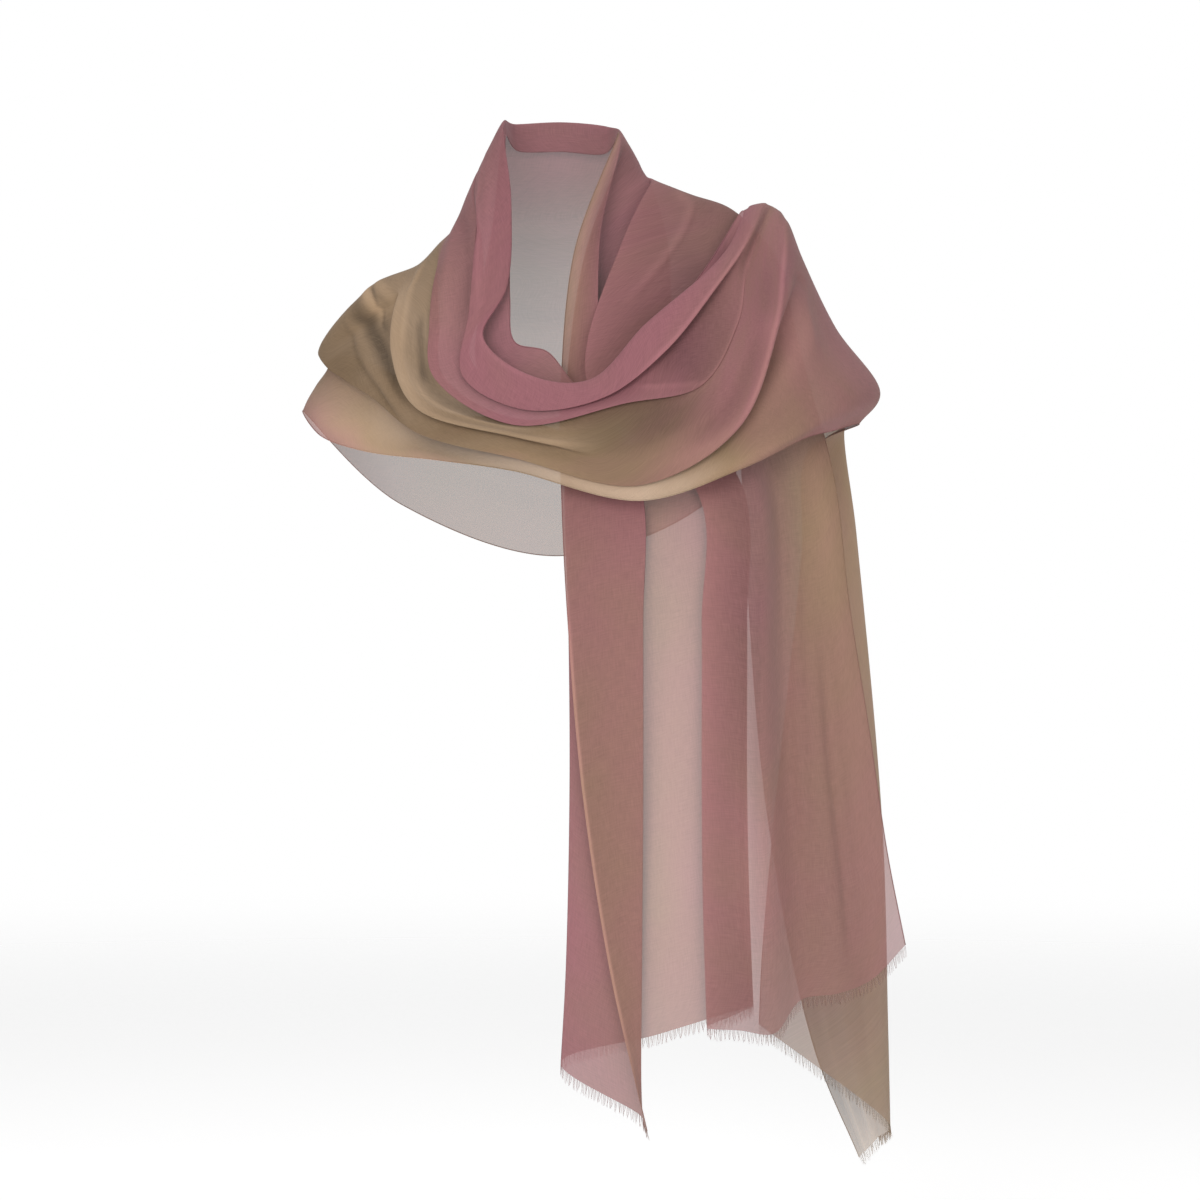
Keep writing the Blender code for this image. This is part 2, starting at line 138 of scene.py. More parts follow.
# ---- across the chest
COWL = {  # low, low_right, right, right_high
    "inner_selvage": [(-12, 117, -178), (18, 128, -208), (62, 117, -174), (112, 98, -114)],
    "rim": [(-28, 134, -196), (22, 144, -200), (66, 135, -156), (113, 116, -116)],
    "roll_edge": [(-30, 150, -224), (34, 158, -214), (82, 150, -177), (122, 129, -127)],
    "second_edge": [(-38, 154, -236), (50, 161, -219), (110, 156, -205), (139, 136, -156)],
    "beige_edge": [(-46, 160, -243), (46, 176, -255), (118, 165, -222), (154, 139, -156)],
    "outer_edge": [(-38, 167, -262), (62, 186, -283), (138, 170, -238), (170, 141, -156)],
    "wing_upper": [(-34, 136, -232), (62, 160, -250), (136, 134, -192), (183, 114, -138)],
    "wing_middle": [(-36, 163, -261), (62, 182, -281), (150, 161, -245), (204, 124, -196)],
    "wing_tip": [(-38, 165, -267), (62, 184, -288), (154, 162, -256), (220, 122, -222)],
    "hem": [(-38, 165, -272), (62, 184, -295), (142, 167, -270), (194, 133, -246)],
}
# ---- over the right shoulder and down behind it
WING = {  # shoulder, right_ridge, behind
    "inner_selvage": [(129, 82, -88), (145, 50, -64), (142, -30, -105)],
    "rim": [(132, 95, -95), (151, 56, -60), (148, -40, -108)],
    "roll_edge": [(143, 105, -97), (162, 58, -58), (160, -52, -112)],
    "second_edge": [(148, 97, -106), (169, 53, -61), (168, -44, -116)],
    "beige_edge": [(162, 98, -107), (175, 55, -65), (178, -54, -126)],
    "outer_edge": [(177, 101, -110), (182, 59, -75), (192, -44, -144)],
    "wing_upper": [(193, 80, -116), (194, 50, -104), (206, -34, -165)],
    "wing_middle": [(212, 90, -168), (220, 52, -158), (222, -20, -200)],
    "wing_tip": [(242, 92, -214), (256, 46, -211), (230, 4, -238)],
    "hem": [(215, 108, -241), (238, 70, -236), (198, 62, -258)],
}
BACK_TAIL = {  # fall_top, fall_middle, fall_low, fall_end
    "inner_selvage": [(150, -62, -330), (168, -20, -560), (206, -10, -748), (243, -12, -838)],
    "rim": [(160, -76, -326), (183, -36, -560), (215, -24, -745), (246, -17, -835)],
    "roll_edge": [(171, -58, -326), (190, -16, -560), (219, -9, -742), (248, -13, -833)],
    "second_edge": [(188, -72, -326), (209, -36, -560), (231, -24, -740), (252, -15, -829)],
    "beige_edge": [(198, -52, -326), (214, -14, -560), (233, -7, -738), (254, -9, -826)],
    "outer_edge": [(216, -60, -326), (232, -30, -560), (246, -18, -736), (258, -8, -821)],
    "wing_upper": [(226, -34, -326), (240, -10, -560), (248, -2, -734), (260, 2, -818)],
    "wing_middle": [(234, -12, -326), (253, 8, -560), (259, 14, -732), (263, 17, -814)],
    "wing_tip": [(237, 28, -326), (257, 42, -560), (262, 44, -722), (264, 44, -802)],
    "hem": [(192, 82, -340), (169, 88, -560), (160, 87, -668), (158, 85, -718)],
}
LAID = (FRONT_TAIL_LOWER, FRONT_TAIL_UPPER, BACK, LEFT_SHOULDER, COWL, WING, BACK_TAIL)

# ---- the tucks between the folds, one row for each station
# The first number drops the turn behind the roll below the rim, as a share of the roll's height.
# Each other tuck lies its share of the way from its fold to the next one outwards. A share below 0
# puts it behind its own fold, towards the one before, so that the cloth lies there in three layers.
# The last number, in millimetres, moves the tucks with a share below 0, and below 0 is towards the
# body. Where it is below 0, the turn behind the roll lies nearer the body too.
FLAT = (0, 0.5, 0.5, 0.5, 0)
STATIONS = {  # roll_back, roll_tuck, second_tuck, beige_tuck, tuck_out
    **dict.fromkeys(("end", "tail_low", "tail_middle", "tail_high"), FLAT),
    **dict.fromkeys(("under_hem", "under_roll", "collar", "ridge"), FLAT),
    **dict.fromkeys(("back_right", "back", "back_left"), FLAT),
    "left_ridge": (0, 0.4, 0.4, 0.45, 0),
    "left_top": (0.5, -0.15, -0.05, -0.2, -3),
    "left": (0.8, -0.35, -0.25, -0.25, -4),
    "left_low": (0.9, -0.4, -0.35, -0.3, -5),
    "low": (0.9, -0.5, -0.4, -0.5, -5),
    "low_right": (0.9, -0.5, -0.4, 0.35, -5),
    "right": (0.9, -0.5, -0.35, 0.5, -5),
    "right_high": (0.8, -0.4, -0.25, 0.5, -4),
    "shoulder": (0.5, 0.1, 0.1, 0.5, -3),
    "right_ridge": (0.1, 0.4, 0.5, 0.5, 0),
    **dict.fromkeys(("behind", "fall_top", "fall_middle", "fall_low", "fall_end"), FLAT),
}
SHOULDER_CREST = ("beige_tuck", "left_ridge", (0, 0, 15))  # there the cloth rides up over the shoulder
TUCKS = ("roll_back", "roll_tuck", "second_tuck", "beige_tuck")
BEHIND_RIM = 3.0  # how far the turn behind the roll lies nearer the body than the rim
LINES = (
    "inner_selvage", "roll_back", "rim", "roll_edge", "roll_tuck", "second_edge", "second_tuck",
    "beige_edge", "beige_tuck", "outer_edge", "wing_upper", "wing_middle", "wing_tip", "hem",
)

# ---- the dyes: 0 all pink, 1 all olive, 2 washed out to a pale beige, and mixed in between
DYED_LINES = (
    "inner_selvage", "rim", "roll_edge", "roll_tuck", "second_edge", "second_tuck", "beige_edge",
    "outer_edge", "wing_middle", "hem",
)
DYE = {
    "end": (0.6, 0.45, 0.1, 0.6, 0.2, 0.2, 0.3, 0.4, 0.4, 0.3),
    "tail_low": (0.6, 0.45, 0.1, 0.6, 0.15, 0.2, 0.3, 0.4, 0.4, 0.3),
    "tail_middle": (0.65, 0.5, 0.1, 0.65, 0.1, 0.15, 0.3, 0.4, 0.55, 0.5),
    "tail_high": (0.45, 0.35, 0.1, 0.65, 0.1, 0.15, 0.3, 0.3, 0.8, 0.8),
    "under_hem": (0.3, 0.1, 0.1, 0.6, 0.1, 0.15, 0.25, 0.3, 0.8, 0.9),
    "under_roll": (0.65, 0.05, 0.0, 0.1, 0.1, 0.15, 0.2, 0.3, 0.4, 0.4),
    "collar": (0.8, 0.1, 0.0, 0.1, 0.1, 0.15, 0.2, 0.35, 0.4, 0.4),
    "ridge": (0.7, 0.2, 0.2, 0.15, 0.1, 0.1, 0.2, 0.45, 0.45, 0.4),
    "back_right": (0.1, 0.1, 0.2, 0.25, 0.3, 0.35, 0.4, 0.5, 0.6, 0.6),
    "back": (0.1, 0.1, 0.2, 0.3, 0.4, 0.5, 0.6, 0.7, 0.9, 0.8),
    "back_left": (0.1, 0.1, 0.2, 0.35, 0.5, 0.7, 0.9, 0.9, 0.9, 0.6),
    "left_ridge": (0.05, 0.05, 0.1, 0.2, 0.35, 1.1, 1.1, 1.0, 0.9, 0.5),
    "left_top": (0.05, 0.0, 0.1, 0.25, 0.3, 1.1, 1.25, 1.0, 0.8, 0.4),
    "left": (0.05, 0.0, 0.15, 0.25, 0.3, 1.1, 1.3, 1.0, 1.15, 0.8),
    "left_low": (0.1, 0.0, 0.1, 0.1, 0.15, 1.1, 1.25, 1.0, 1.2, 0.9),
    "low": (0.2, 0.0, 0.0, 0.0, 0.05, 1.1, 1.15, 0.95, 1.4, 1.2),
    "low_right": (0.3, 0.0, 0.0, 0.0, 0.1, 0.85, 0.95, 0.8, 1.8, 1.8),
    "right": (0.2, 0.0, 0.05, 0.1, 0.2, 0.4, 0.35, 0.3, 0.75, 0.9),
    "right_high": (0.1, 0.0, 0.15, 0.2, 0.3, 0.3, 0.2, 0.2, 0.4, 0.3),
    "shoulder": (0.1, 0.05, 0.2, 0.25, 0.3, 0.3, 0.25, 0.2, 0.3, 0.2),
    "right_ridge": (0.1, 0.1, 0.3, 0.35, 0.4, 0.35, 0.3, 0.3, 0.25, 0.4),
    "behind": (0.4, 0.4, 0.5, 0.55, 0.6, 0.6, 0.7, 1.0, 1.1, 0.8),
    "fall_top": (0.8, 0.8, 0.8, 0.85, 0.9, 0.9, 1.0, 1.1, 1.2, 0.6),
    "fall_middle": (0.9, 0.9, 0.9, 0.9, 0.9, 0.9, 1.0, 1.1, 1.2, 0.6),
    "fall_low": (1.0, 1.0, 1.0, 1.0, 1.0, 1.0, 1.0, 1.1, 1.2, 0.6),
    "fall_end": (1.2, 1.2, 1.2, 1.2, 1.2, 1.2, 1.2, 1.2, 1.2, 0.8),
}

# ---- soft places where the cloth is paler (above 0) or deeper (below 0) than its dyes: partly its own tone,
# partly painted light and painted shade, with painted light where folds shade the cloth below them or it
# faces away from the lamps, and painted shade in valleys, under folds, on the panel beside the neck and down
# the side of the front tail
# station and line of the middle, reach in stations, width in lines, and the change
TONE_AND_PAINTED_LIGHT = (
    ("left_top+0.3", "beige_tuck+0.6", 1.3, 0.7, -0.22),
    ("left_top+0.5", "wing_tip", 1.3, 1.6, 0.6),
    ("left_top-0.3", "hem", 0.5, 1.6, -0.25),
    ("left-0.1", "wing_tip", 0.7, 1.6, 0.4),
    ("left_low+0.1", "wing_tip-0.5", 0.4, 1.2, -0.12),
    ("left+0.8", "hem", 0.9, 0.8, 0.75),
    ("left_low+0.9", "wing_tip", 0.4, 2.0, -0.08),
    ("low_right", "wing_tip", 1.2, 1.8, 0.44),
    ("right-0.2", "wing_tip+0.5", 0.4, 1.0, 0.12),
    ("low_right+0.3", "outer_edge-0.5", 0.6, 0.6, 0.08),
    ("low+0.1", "outer_edge-0.3", 0.5, 0.6, 0.32),
    ("right+0.3", "wing_upper+0.6", 1.0, 0.9, 0.06),
    ("right+0.6", "wing_upper+0.2", 0.5, 0.4, 0.12),
    ("right", "wing_tip+0.6", 0.5, 0.8, 0.16),
    ("right_high+0.5", "beige_edge+0.3", 0.6, 0.9, -0.18),
    ("right", "roll_tuck+0.5", 0.35, 0.5, -0.2),
    ("right_high+0.8", "wing_middle", 0.6, 0.8, 0.1),
    ("low+0.45", "second_tuck+0.8", 0.25, 0.4, 0.25),
    ("low_right+0.55", "second_tuck+0.65", 0.45, 0.4, -0.26),
    ("left_ridge+0.5", "rim+0.3", 1.0, 1.0, -0.12),
    ("left_ridge+0.5", "roll_tuck+0.5", 1.2, 0.8, -0.15),
    ("right+0.5", "roll_tuck+0.5", 0.7, 0.8, -0.25),
    ("low_right", "second_tuck+0.4", 0.7, 0.8, -0.2),
    ("low_right+0.5", "beige_tuck+0.5", 0.4, 0.8, 0.12),
    ("shoulder", "wing_upper", 0.8, 2.0, -0.12),
    ("right_high+0.7", "inner_selvage", 0.5, 1.5, -0.26),
    ("collar+0.9", "outer_edge+0.4", 0.4, 1.5, -0.15),
    ("collar+0.3", "outer_edge", 1.3, 4.0, -0.22),
    ("collar", "inner_selvage+0.4", 0.9, 0.55, 0.28),
    ("collar+0.2", "roll_back+0.9", 0.5, 0.6, -0.2),
    ("collar+0.8", "roll_edge+0.2", 0.25, 1.2, -0.3),
    ("collar+0.3", "roll_edge+0.7", 0.4, 0.7, -0.12),
    ("collar+0.8", "beige_tuck+0.4", 0.15, 0.35, 0.2),
    ("collar-0.1", "beige_tuck+0.5", 0.2, 0.4, -0.12),
    ("under_roll", "roll_tuck", 0.7, 3.0, 0.15),
    ("tail_middle", "rim", 3.0, 2.0, 0.15),
    ("tail_low+0.5", "roll_tuck+0.15", 3.0, 0.35, 0.36),
    ("tail_middle", "beige_edge+0.1", 3.0, 0.55, 0.36),
    ("tail_middle", "beige_tuck+0.5", 2.5, 0.6, -0.24),
    ("tail_low+0.4", "beige_tuck+0.5", 1.0, 0.7, 0.4),
    ("tail_middle+0.5", "wing_tip", 2.0, 1.5, 0.14),
    ("tail_high+0.7", "wing_middle+0.8", 0.9, 0.9, 0.32),
    ("back", "wing_middle", 2.0, 3.0, 0.3),
    ("behind+0.6", "wing_upper+0.5", 0.6, 1.5, 0.3),
    ("fall_top+0.1", "wing_tip", 0.9, 2.0, 0.4),
    ("fall_middle", "wing_middle", 2.2, 4.0, 0.3),
    ("fall_end", "second_edge", 0.7, 5.0, 0.5),
)

# ---- how much one layer hides of what lies behind it: more where the cloth is gathered
COVERED_LINES = ("rim", "roll_tuck", "second_edge", "beige_edge", "outer_edge", "wing_middle")
COVER = {
    "end": (0.86, 0.78, 0.80, 0.70, 0.76, 0.72),
    "tail_low": (0.88, 0.82, 0.82, 0.68, 0.90, 0.76),
    "tail_middle": (0.88, 0.83, 0.84, 0.72, 0.93, 0.80),
    "tail_high": (0.88, 0.84, 0.85, 0.76, 0.93, 0.80),
    "under_hem": (0.88, 0.86, 0.88, 0.86, 0.90, 0.86),
    "under_roll": (0.86, 0.90, 0.90, 0.94, 0.94, 0.92),
    "collar": (0.84, 0.93, 0.94, 0.96, 0.96, 0.93),
    "ridge": (0.88, 0.92, 0.94, 0.96, 0.96, 0.93),
    "back_right": (0.88, 0.84, 0.80, 0.76, 0.70, 0.64),
    "back": (0.88, 0.82, 0.78, 0.72, 0.66, 0.62),
    "back_left": (0.88, 0.84, 0.80, 0.75, 0.68, 0.64),
    "left_ridge": (0.90, 0.92, 0.94, 0.96, 0.98, 0.80),
    "left_top": (0.92, 0.93, 0.95, 0.97, 0.98, 0.82),
    "left": (0.93, 0.94, 0.95, 0.97, 0.97, 0.88),
    "left_low": (0.94, 0.95, 0.95, 0.95, 0.92, 0.86),
    "low": (0.94, 0.94, 0.94, 0.92, 0.90, 0.80),
    "low_right": (0.94, 0.94, 0.92, 0.90, 0.90, 0.82),
    "right": (0.94, 0.94, 0.92, 0.90, 0.90, 0.84),
    "right_high": (0.93, 0.93, 0.92, 0.91, 0.91, 0.88),
    "shoulder": (0.93, 0.93, 0.92, 0.92, 0.92, 0.90),
    "right_ridge": (0.92, 0.92, 0.92, 0.92, 0.92, 0.90),
    "behind": (0.85, 0.86, 0.87, 0.88, 0.92, 0.93),
    "fall_top": (0.78, 0.79, 0.80, 0.82, 0.84, 0.86),
    "fall_middle": (0.76, 0.77, 0.77, 0.78, 0.78, 0.76),
    "fall_low": (0.70, 0.70, 0.70, 0.72, 0.76, 0.75),
    "fall_end": (0.60, 0.60, 0.60, 0.62, 0.66, 0.72),
}

# ---- the main creases, each a soft ridge (depth above 0) or trough (below 0) along the ribbon
# from station, to station, the lines it passes at even steps between them, half width and depth in
# millimetres, and a painted highlight (above 0) or painted shade (below 0) along it, for a fold edge
# catching the light or a valley in shade
CREASES = (
    # the fan over the left shoulder: its pleat, the line left of it, the valley, the tip and beside it
    (
        "left_ridge", "left_low+0.4", "beige_tuck+0.36", "beige_tuck+0.53", "beige_tuck+0.60",
        "beige_tuck+0.60", "beige_tuck+0.56", 6.5, 2.0, 0.14,
    ),
    (
        "left_ridge+0.2", "left+0.9", "beige_tuck+0.47", "beige_tuck+0.62", "beige_tuck+0.72",
        "beige_tuck+0.90", 2.0, -1.2, -0.14,
    ),
    (
        "left_ridge-0.2", "left_low", "beige_tuck+0.22", "beige_tuck+0.39", "beige_tuck+0.46",
        "beige_tuck+0.43", "beige_tuck+0.43", "beige_tuck+0.42", 6, -1.5, -0.38,
    ),
    (
        "left_ridge-0.4", "left_top+0.2", "beige_tuck+0.00", "beige_tuck+0.10", "beige_tuck+0.21",
        "beige_tuck+0.31", "beige_tuck+0.36", 5, 0.6, 0.7,
    ),
    (
        "left_ridge-0.1", "left_top+0.5", "beige_tuck-0.05", "beige_tuck+0.10", "beige_tuck+0.26",
        "beige_tuck+0.35", "beige_tuck+0.34", 1.5, -0.6, -0.45,
    ),
    (
        "left_ridge-0.3", "left_top+0.4", "beige_tuck-0.20", "beige_tuck-0.08", "beige_tuck+0.07",
        "beige_tuck+0.23", "beige_tuck+0.27", 5, 0.5, 0.35,
    ),
    ("left_ridge", "left_top+0.8", "beige_tuck+0.85", "beige_tuck+0.95", 12, -1.0, -0.06),
    # the pale fold beside it, with painted highlights along its edges and painted shade in the valleys
    # between them
    ("left_ridge+0.3", "left_low+0.5", "beige_edge-0.2", "beige_edge-0.2", 7, 0.5, 0.32),
    ("left_ridge+0.1", "left+0.2", "second_tuck+0.55", "second_tuck+0.62", "second_tuck+0.7", 4, 1.2, 0.26),
    ("left_top+0.55", "left+0.9", "second_tuck+0.43", "second_tuck+0.47", 3.5, -1.6, -0.36),
    ("left+0.3", "low+0.2", "second_tuck+0.45", "second_tuck+0.36", 5, -1.2, -0.18),
    ("left+0.2", "low-0.2", "second_tuck+0.3", "second_tuck+0.25", 1.5, 1.0, 0.25),
    ("left_low-0.5", "low+0.3", "second_tuck+0.62", "second_tuck+0.55", 1.5, 0.8, 0.22),
    ("left_low-0.2", "low+0.9", "beige_edge-0.1", "beige_edge-0.15", 2.5, 0.8, 0.25),
    # the roll and the left side of the neck
    ("left_ridge", "left+0.6", "rim+0.6", "rim+0.65", 7, 1.5, 0.05),
    ("left_ridge-0.2", "left+0.2", "rim+0.55", "rim+0.85", "rim+0.80", "rim+0.68", 2.5, 1.0, 0.14),
    ("left_ridge-0.2", "left_top+0.3", "rim+0.80", "roll_edge+0.25", "roll_edge+0.1", 2.5, -1.5, -0.2),
    ("left_ridge-0.2", "left_low", "roll_tuck+0.7", "roll_tuck+0.6", 7, 1.5, 0.08),
    ("left_ridge", "left+0.5", "roll_tuck+0.35", "roll_tuck+0.35", 5, -1.5, -0.10),
    ("left", "low+0.6", "rim+0.1", "rim+0.1", 3, 0.6, 0.14),
    ("low_right+0.2", "right_ridge-0.4", "roll_edge-0.08", "roll_edge-0.08", 2.5, 0.8, 0.3),
    # the folds at the right
    ("low_right+0.3", "right+0.1", "roll_tuck+0.5", "second_edge-0.1", 3, 1.5, 0.15),
    ("right-0.4", "right_ridge-0.3", "second_edge-0.05", "second_edge-0.05", 2, 0.6, 0.22),
    ("low_right+0.5", "right_high", "beige_tuck", "beige_tuck", 8, -1.0, -0.16),
    ("low_right+0.2", "right_high+0.4", "outer_edge-0.25", "outer_edge-0.2", 8, 1.0, 0.14),
    ("right-0.4", "right_ridge-0.2", "outer_edge-0.06", "outer_edge-0.06", 2.5, 0.6, 0.28),
    ("right-0.3", "right_high+0.6", "wing_upper+0.7", "wing_upper+0.5", 14, 2.0, 0.12),
    ("right_high-0.4", "shoulder", "wing_upper-0.1", "wing_upper-0.1", 9, -2.0, -0.08),
    # the panel beside the neck
    ("under_roll+0.5", "collar+0.9", "beige_edge+0.5", "outer_edge", 4, 1.5, 0.12),
    # round the back, where the cloth sags between the shoulders
    ("ridge+0.4", "left_ridge-0.2", "roll_edge+0.6", "second_edge+0.3", "second_edge", 9, 2.5, 0.08),
    (
        "back_right-0.4", "left_ridge-0.4", "beige_tuck-0.1", "beige_tuck+0.5", "beige_edge+0.7",
        10, -3.0, -0.08,
    ),
    ("ridge+0.6", "left_ridge-0.3", "outer_edge+0.6", "wing_upper+0.5", "wing_upper", 13, 3.5, 0.08),
    ("back_right-0.3", "back_left+0.5", "wing_middle+0.2", "wing_middle+0.5", "wing_middle", 11, -3.0, -0.06),
    # the pleats of the front tail, and its turned edge, with a painted highlight along that edge
    ("end", "tail_high+0.5", "inner_selvage", "inner_selvage", 1.8, 0, 0.8),
    ("end", "under_hem", "beige_tuck+0.3", "outer_edge-0.3", 6, 2.5, 0.0),
    ("end", "under_hem", "roll_tuck-0.4", "roll_tuck+0.1", 8, -3.0, 0.0),
    ("end", "tail_high", "roll_tuck+0.5", "second_edge-0.3", 6, 2.5, 0.0),
    ("tail_low", "under_hem+0.5", "wing_upper+0.4", "wing_upper+0.5", 6, 2.5, 0.0),
    ("end", "tail_high", "wing_middle+0.5", "wing_middle+0.4", 6, -2.5, 0.0),
)

# ---- how many times as many columns the cloth has after these lines, where it is widest
FINE = {"inner_selvage": 2, "second_tuck": 2, "beige_tuck": 3}

# ---- the pieces: first and last station, flat size across and along in metres, how it is held, the
# slot of its material and the solids it stands for
PIECES = {
    "front_tail": (
        "end", "ridge", (0.40, 0.72), "hung", "front_tail_panel",
        (
            "front_tail_flap", "front_tail_panel", "front_tail_side", "right_neck_strip",
            "right_shoulder_panel",
        ),
    ),
    "back_drape": (
        "ridge", "left_ridge", (0.35, 0.36), "draped", "back_drape_upper",
        ("nape_band", "back_drape_upper", "back_drape_lower"),
    ),
    "left_shoulder": (
        "left_ridge", "left_low", (0.27, 0.16), "draped", "left_shoulder_fold",
        ("left_neck_folds", "left_shoulder_fold", "left_shoulder_hem"),
    ),
    "cowl": (
        "left_low", "right_ridge", (0.27, 0.41), "draped", "cowl_roll",
        (
            "cowl_roll", "cowl_second_fold", "cowl_third_fold", "cowl_outer_fold", "cowl_hem_band",
            "right_wing",
        ),
    ),
    "back_tail": (
        "right_ridge", "fall_end", (0.24, 0.80), "hung", "back_tail_pleats",
        ("right_shoulder_turn", "right_wing_turn", "back_tail_pleats", "back_tail_front"),
    ),
}

# ---- the fringes: the piece it hangs from, the ribbon's row at the woven end and the row before it,
# the slot of its material and the solids it stands for
FRINGES = {
    "front_fringe": (
        "front_tail", (0, 1), "front_tail_panel",
        ("front_flap_fringe", "front_panel_fringe", "front_side_fringe"),
    ),
    "back_fringe": (
        "back_tail", (-1, -2), "back_tail_pleats",
        ("back_pleats_fringe", "back_front_fringe"),
    ),
}
TUFT = 3.4  # threads in a tuft
THREAD_PLACES = 5  # places along a thread
THREAD_TIP = 0.45  # a thread's radius at its tip, as a share of its radius at the woven end
TUBE_SIDES = 4  # so that one four-cornered face closes each end of a cord or thread

# ---- the finish, with its noises over the flat cloth in metres
CLOUDS = 14.0
CLOUD_REACH = 0.5  # how far the clouds carry one dye into the other
THREAD_GRAIN = ((1100, 90, 1), (90, 1100, 1))  # for threads along the ribbon and threads across it
GRAIN_DEPTH = 0.0004
EDGE_TIGHT = 1.05  # what the cover is multiplied by, in the selvages and in the fringes
FRINGE_TIGHT = 0.85

# ---- the studio: where the camera and the lights aim, from the nape, and each light's place from there
# and its size, all in metres
AIM = Vector((0.030, -0.10, -0.376))
LAMPS = {"key": ((-1.1, -3.0, 1.0), 1.8), "fill": ((1.7, -2.7, 0.3), 2.2), "top": ((0.2, 0.3, 2.4), 1.6)}
FLOOR_DROP = 0.10  # from the lowest point down to the floor
FLOOR_RINGS, FLOOR_SPOKES = 40, 96
FLOOR_RADII = (0.02, 6.0)
FLOOR_FADE = (1.6, 4.0)  # where the floor starts and ends fading out


# ======== sizes, colours and studio
class ClothSettings(bpy.types.PropertyGroup):
    """How finely the cloth is drawn, and its edges"""

    rows: IntProperty(name="Rows", description="Rows of the cloth between two stations", default=40, min=2)
    columns: IntProperty(name="Columns", description="Columns between two fold lines", default=14, min=2)
    selvage: FloatProperty(
        name="Selvage radius", description="Radius of the selvage's edge cord",
        default=0.0004, unit="LENGTH", precision=5,
    )
    thread_length: FloatProperty(
        name="Thread length", description="Length of a fringe thread",
        default=0.0095, unit="LENGTH", precision=5,
    )
    thread_spacing: FloatProperty(
        name="Thread spacing", description="Distance between two fringe threads",
        default=0.0011, unit="LENGTH", precision=5,
    )
    thread_radius: FloatProperty(
        name="Thread radius", description="Radius of a fringe thread at the woven end",
        default=0.00018, unit="LENGTH", precision=5,
    )


class DyeSettings(bpy.types.PropertyGroup):
    """The dyes and the finish of the cloth"""

    pink: FloatVectorProperty(
        name="Pink", description="The mauve pink dye", default=(0.275, 0.110, 0.126),
        size=3, subtype="COLOR", min=0, max=1,
    )
    olive: FloatVectorProperty(
        name="Olive", description="The olive dye", default=(0.215, 0.143, 0.084),
        size=3, subtype="COLOR", min=0, max=1,
    )
    beige: FloatVectorProperty(
        name="Beige", description="Where both dyes are washed out", default=(0.400, 0.295, 0.215),
        size=3, subtype="COLOR", min=0, max=1,
    )
    cover: FloatProperty(
        name="Cover", description="The cloth's cover against the laid one", default=1.0, min=0, max=1.1,
    )
    sheen: FloatProperty(
        name="Sheen", description="Strength of the silky sheen", default=0.08,
        min=0, max=1, subtype="FACTOR",
    )


class StudioSettings(bpy.types.PropertyGroup):
    """The floor, the lights and the camera"""

    distance: FloatProperty(
        name="Camera distance", description="From the camera to the scarf", default=4.5, unit="LENGTH",
    )
    lens: FloatProperty(name="Lens", description="Focal length in millimetres", default=169.0, min=1)
    elevation: FloatProperty(
        name="Camera elevation", description="How far above the scarf the camera looks from",
        default=np.radians(2.0), subtype="ANGLE",
    )
    key: FloatProperty(name="Key light", description="Power of the key light", default=52.0, subtype="POWER")
    fill: FloatProperty(
        name="Fill light", description="Power of the fill and top lights", default=22.0, subtype="POWER",
    )
    ambient: FloatProperty(name="Ambient", description="Strength of the room's light", default=0.5, min=0)


# ======== the cloth
def laid_lines():
    """The fold lines and the tucks between them, as an array of line, station and (across, out, up)."""
    fold = {
        line: np.array(sum((table[line] for table in LAID), []), float)
        for line in FRONT_TAIL_LOWER
    }
    shares = dict(zip(TUCKS, np.array(list(STATIONS.values()), float).T[:4, :, None]))
    lift = np.array([[0, row[4], 0] for row in STATIONS.values()], float)
    in_front = (lift[:, 1:2] < 0).astype(float)
    roll = (fold["roll_edge"] - fold["rim"]) * [1, 0, 1]
    turned = (fold["inner_selvage"] + fold["rim"]) / 2 + shares["roll_back"] * roll
    fold["roll_back"] = turned - in_front * [0, BEHIND_RIM, 0]
    for i, line in enumerate(LINES):
        if line in TUCKS[1:]:
            before, own, after = (fold[LINES[k]] for k in (i - 3, i - 1, i + 1))
            share = shares[line]
            towards = np.where(share < 0, own - (fold["rim"] if line == "roll_tuck" else before), after - own)
            fold[line] = own + share * towards + lift * (share < 0)
    line, name, rise = SHOULDER_CREST
    fold[line][list(STATIONS).index(name)] += rise
    return np.array([fold[line] for line in LINES])


def smooth(knots, at):
    """Places on the smooth curves through knots, which lie along the second axis at 0, 1, 2 and so on.

    Each piece is a cubic between two knots. Its slope at a knot weighs the way in and the way out by
    the roots of their lengths, so that a sharp turn stays tight and makes no loop.
    """
    step = np.diff(knots, axis=1)
    span = np.maximum(np.sqrt(np.linalg.norm(step, axis=2, keepdims=True)), 1e-3)
    rate = step / span
    inner = (span[:, 1:] * rate[:, :-1] + span[:, :-1] * rate[:, 1:]) / (span[:, 1:] + span[:, :-1])
    slope = np.concatenate([rate[:, :1], inner, rate[:, -1:]], axis=1)
    i = np.clip(np.floor(at).astype(int), 0, knots.shape[1] - 2)
    t = (at - i)[None, :, None]
    start, end = knots[:, i], knots[:, i + 1]
    leave, arrive = slope[:, i] * span[:, i], slope[:, i + 1] * span[:, i]
    return (
        (1 + 2 * t) * (1 - t) ** 2 * start
        + t * (1 - t) ** 2 * leave
        + t**2 * (3 - 2 * t) * end
        + t**2 * (t - 1) * arrive
    )


def unit(vectors):
    """Vectors of length 1 along the last axis."""
    return vectors / np.maximum(np.linalg.norm(vectors, axis=-1, keepdims=True), 1e-9)


def place_of(name, names):
    """The place that a name and the signed share after it give, such as left+0.4."""
    for sign in ("+", "-"):
        base, found, share = name.partition(sign)
        if found:
            return list(names).index(base) + float(sign + share)
    return float(list(names).index(name))


